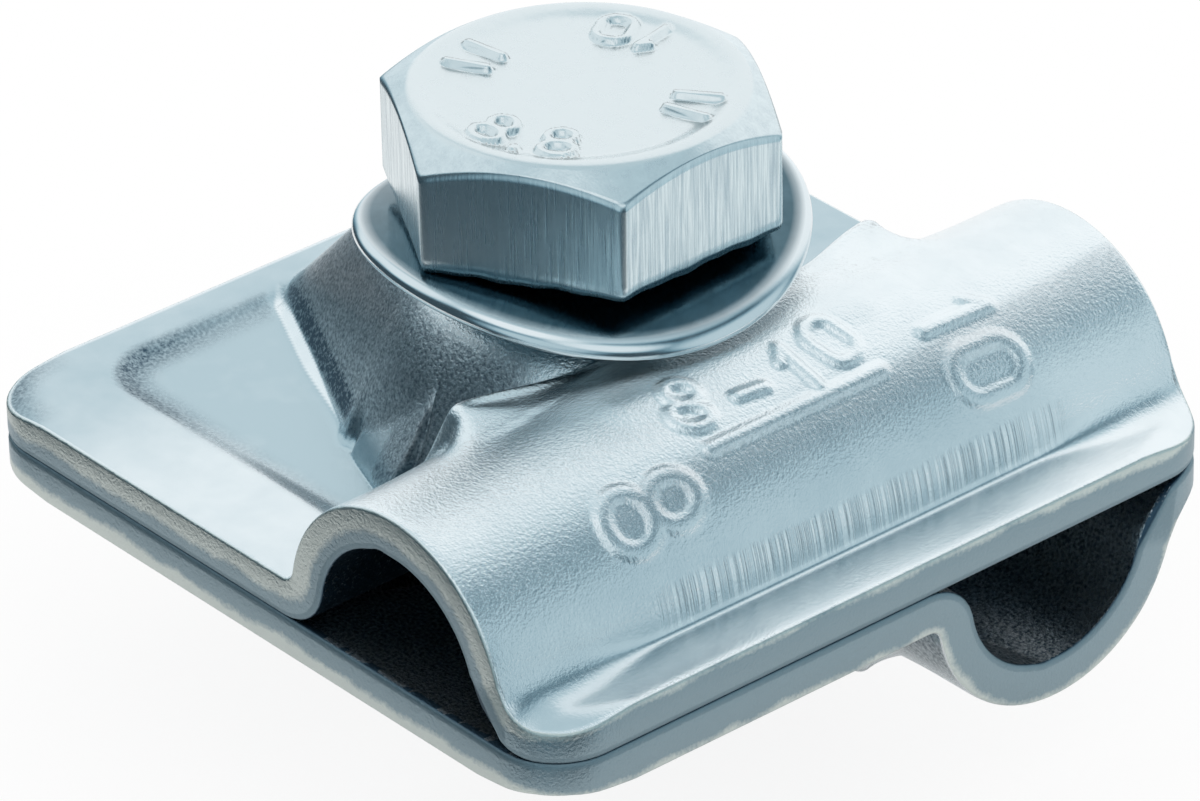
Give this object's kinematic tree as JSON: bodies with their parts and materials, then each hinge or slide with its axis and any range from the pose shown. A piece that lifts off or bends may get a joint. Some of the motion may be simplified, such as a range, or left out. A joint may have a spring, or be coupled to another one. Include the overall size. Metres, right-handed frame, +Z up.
{
  "type": "earthing cross connector",
  "caption": "Cross connector for round earthing conductors: two pressed steel clamp plates with half-round channels, drawn together by a hexagon bolt with a curved spring washer.",
  "frame": {"origin": "on the bolt axis, in the joint plane where the flanges of the two clamp plates meet", "axes": "+Z up along the bolt towards its head, +Y along the upper conductor channel, +X along the lower conductor channel"},
  "size_m": [0.0416, 0.0416, 0.032],
  "materials": {
    "plate_sheet": "galvanised sheet, satin with fine mottling, pressed radii burnished bright",
    "bolt_steel": "zinc plated, satin, with vertical drawing lines on the flats",
    "washer_steel": "zinc plated spring steel, smooth, with rolled bright edge"
  },
  "bodies": {
    "lower": {"lower_plate": "plate_sheet"},
    "washer": {"spring_washer": "washer_steel"},
    "bolt": {"hex_bolt": "bolt_steel"},
    "upper": {"upper_plate": "plate_sheet"}
  },
  "joints": [
    {"name": "clamp_lift", "type": "slide", "parent": "lower", "child": "washer", "axis": [0, 0, 1], "range_m": [0, 0.004]},
    {"name": "bolt_turn", "type": "hinge", "parent": "washer", "child": "bolt", "pos_m": [0, 0, 0.013], "axis": [0, 0, 1], "range_deg": [0, 960]},
    {"name": "plate_swivel", "type": "hinge", "parent": "washer", "child": "upper", "pos_m": [0, 0, 0.0098], "axis": [0, 0, 1], "continuous": true}
  ],
  "couplings": [
    {"joint": "bolt_turn", "follows": "clamp_lift", "rad_per_m": 4188.8}
  ]
}
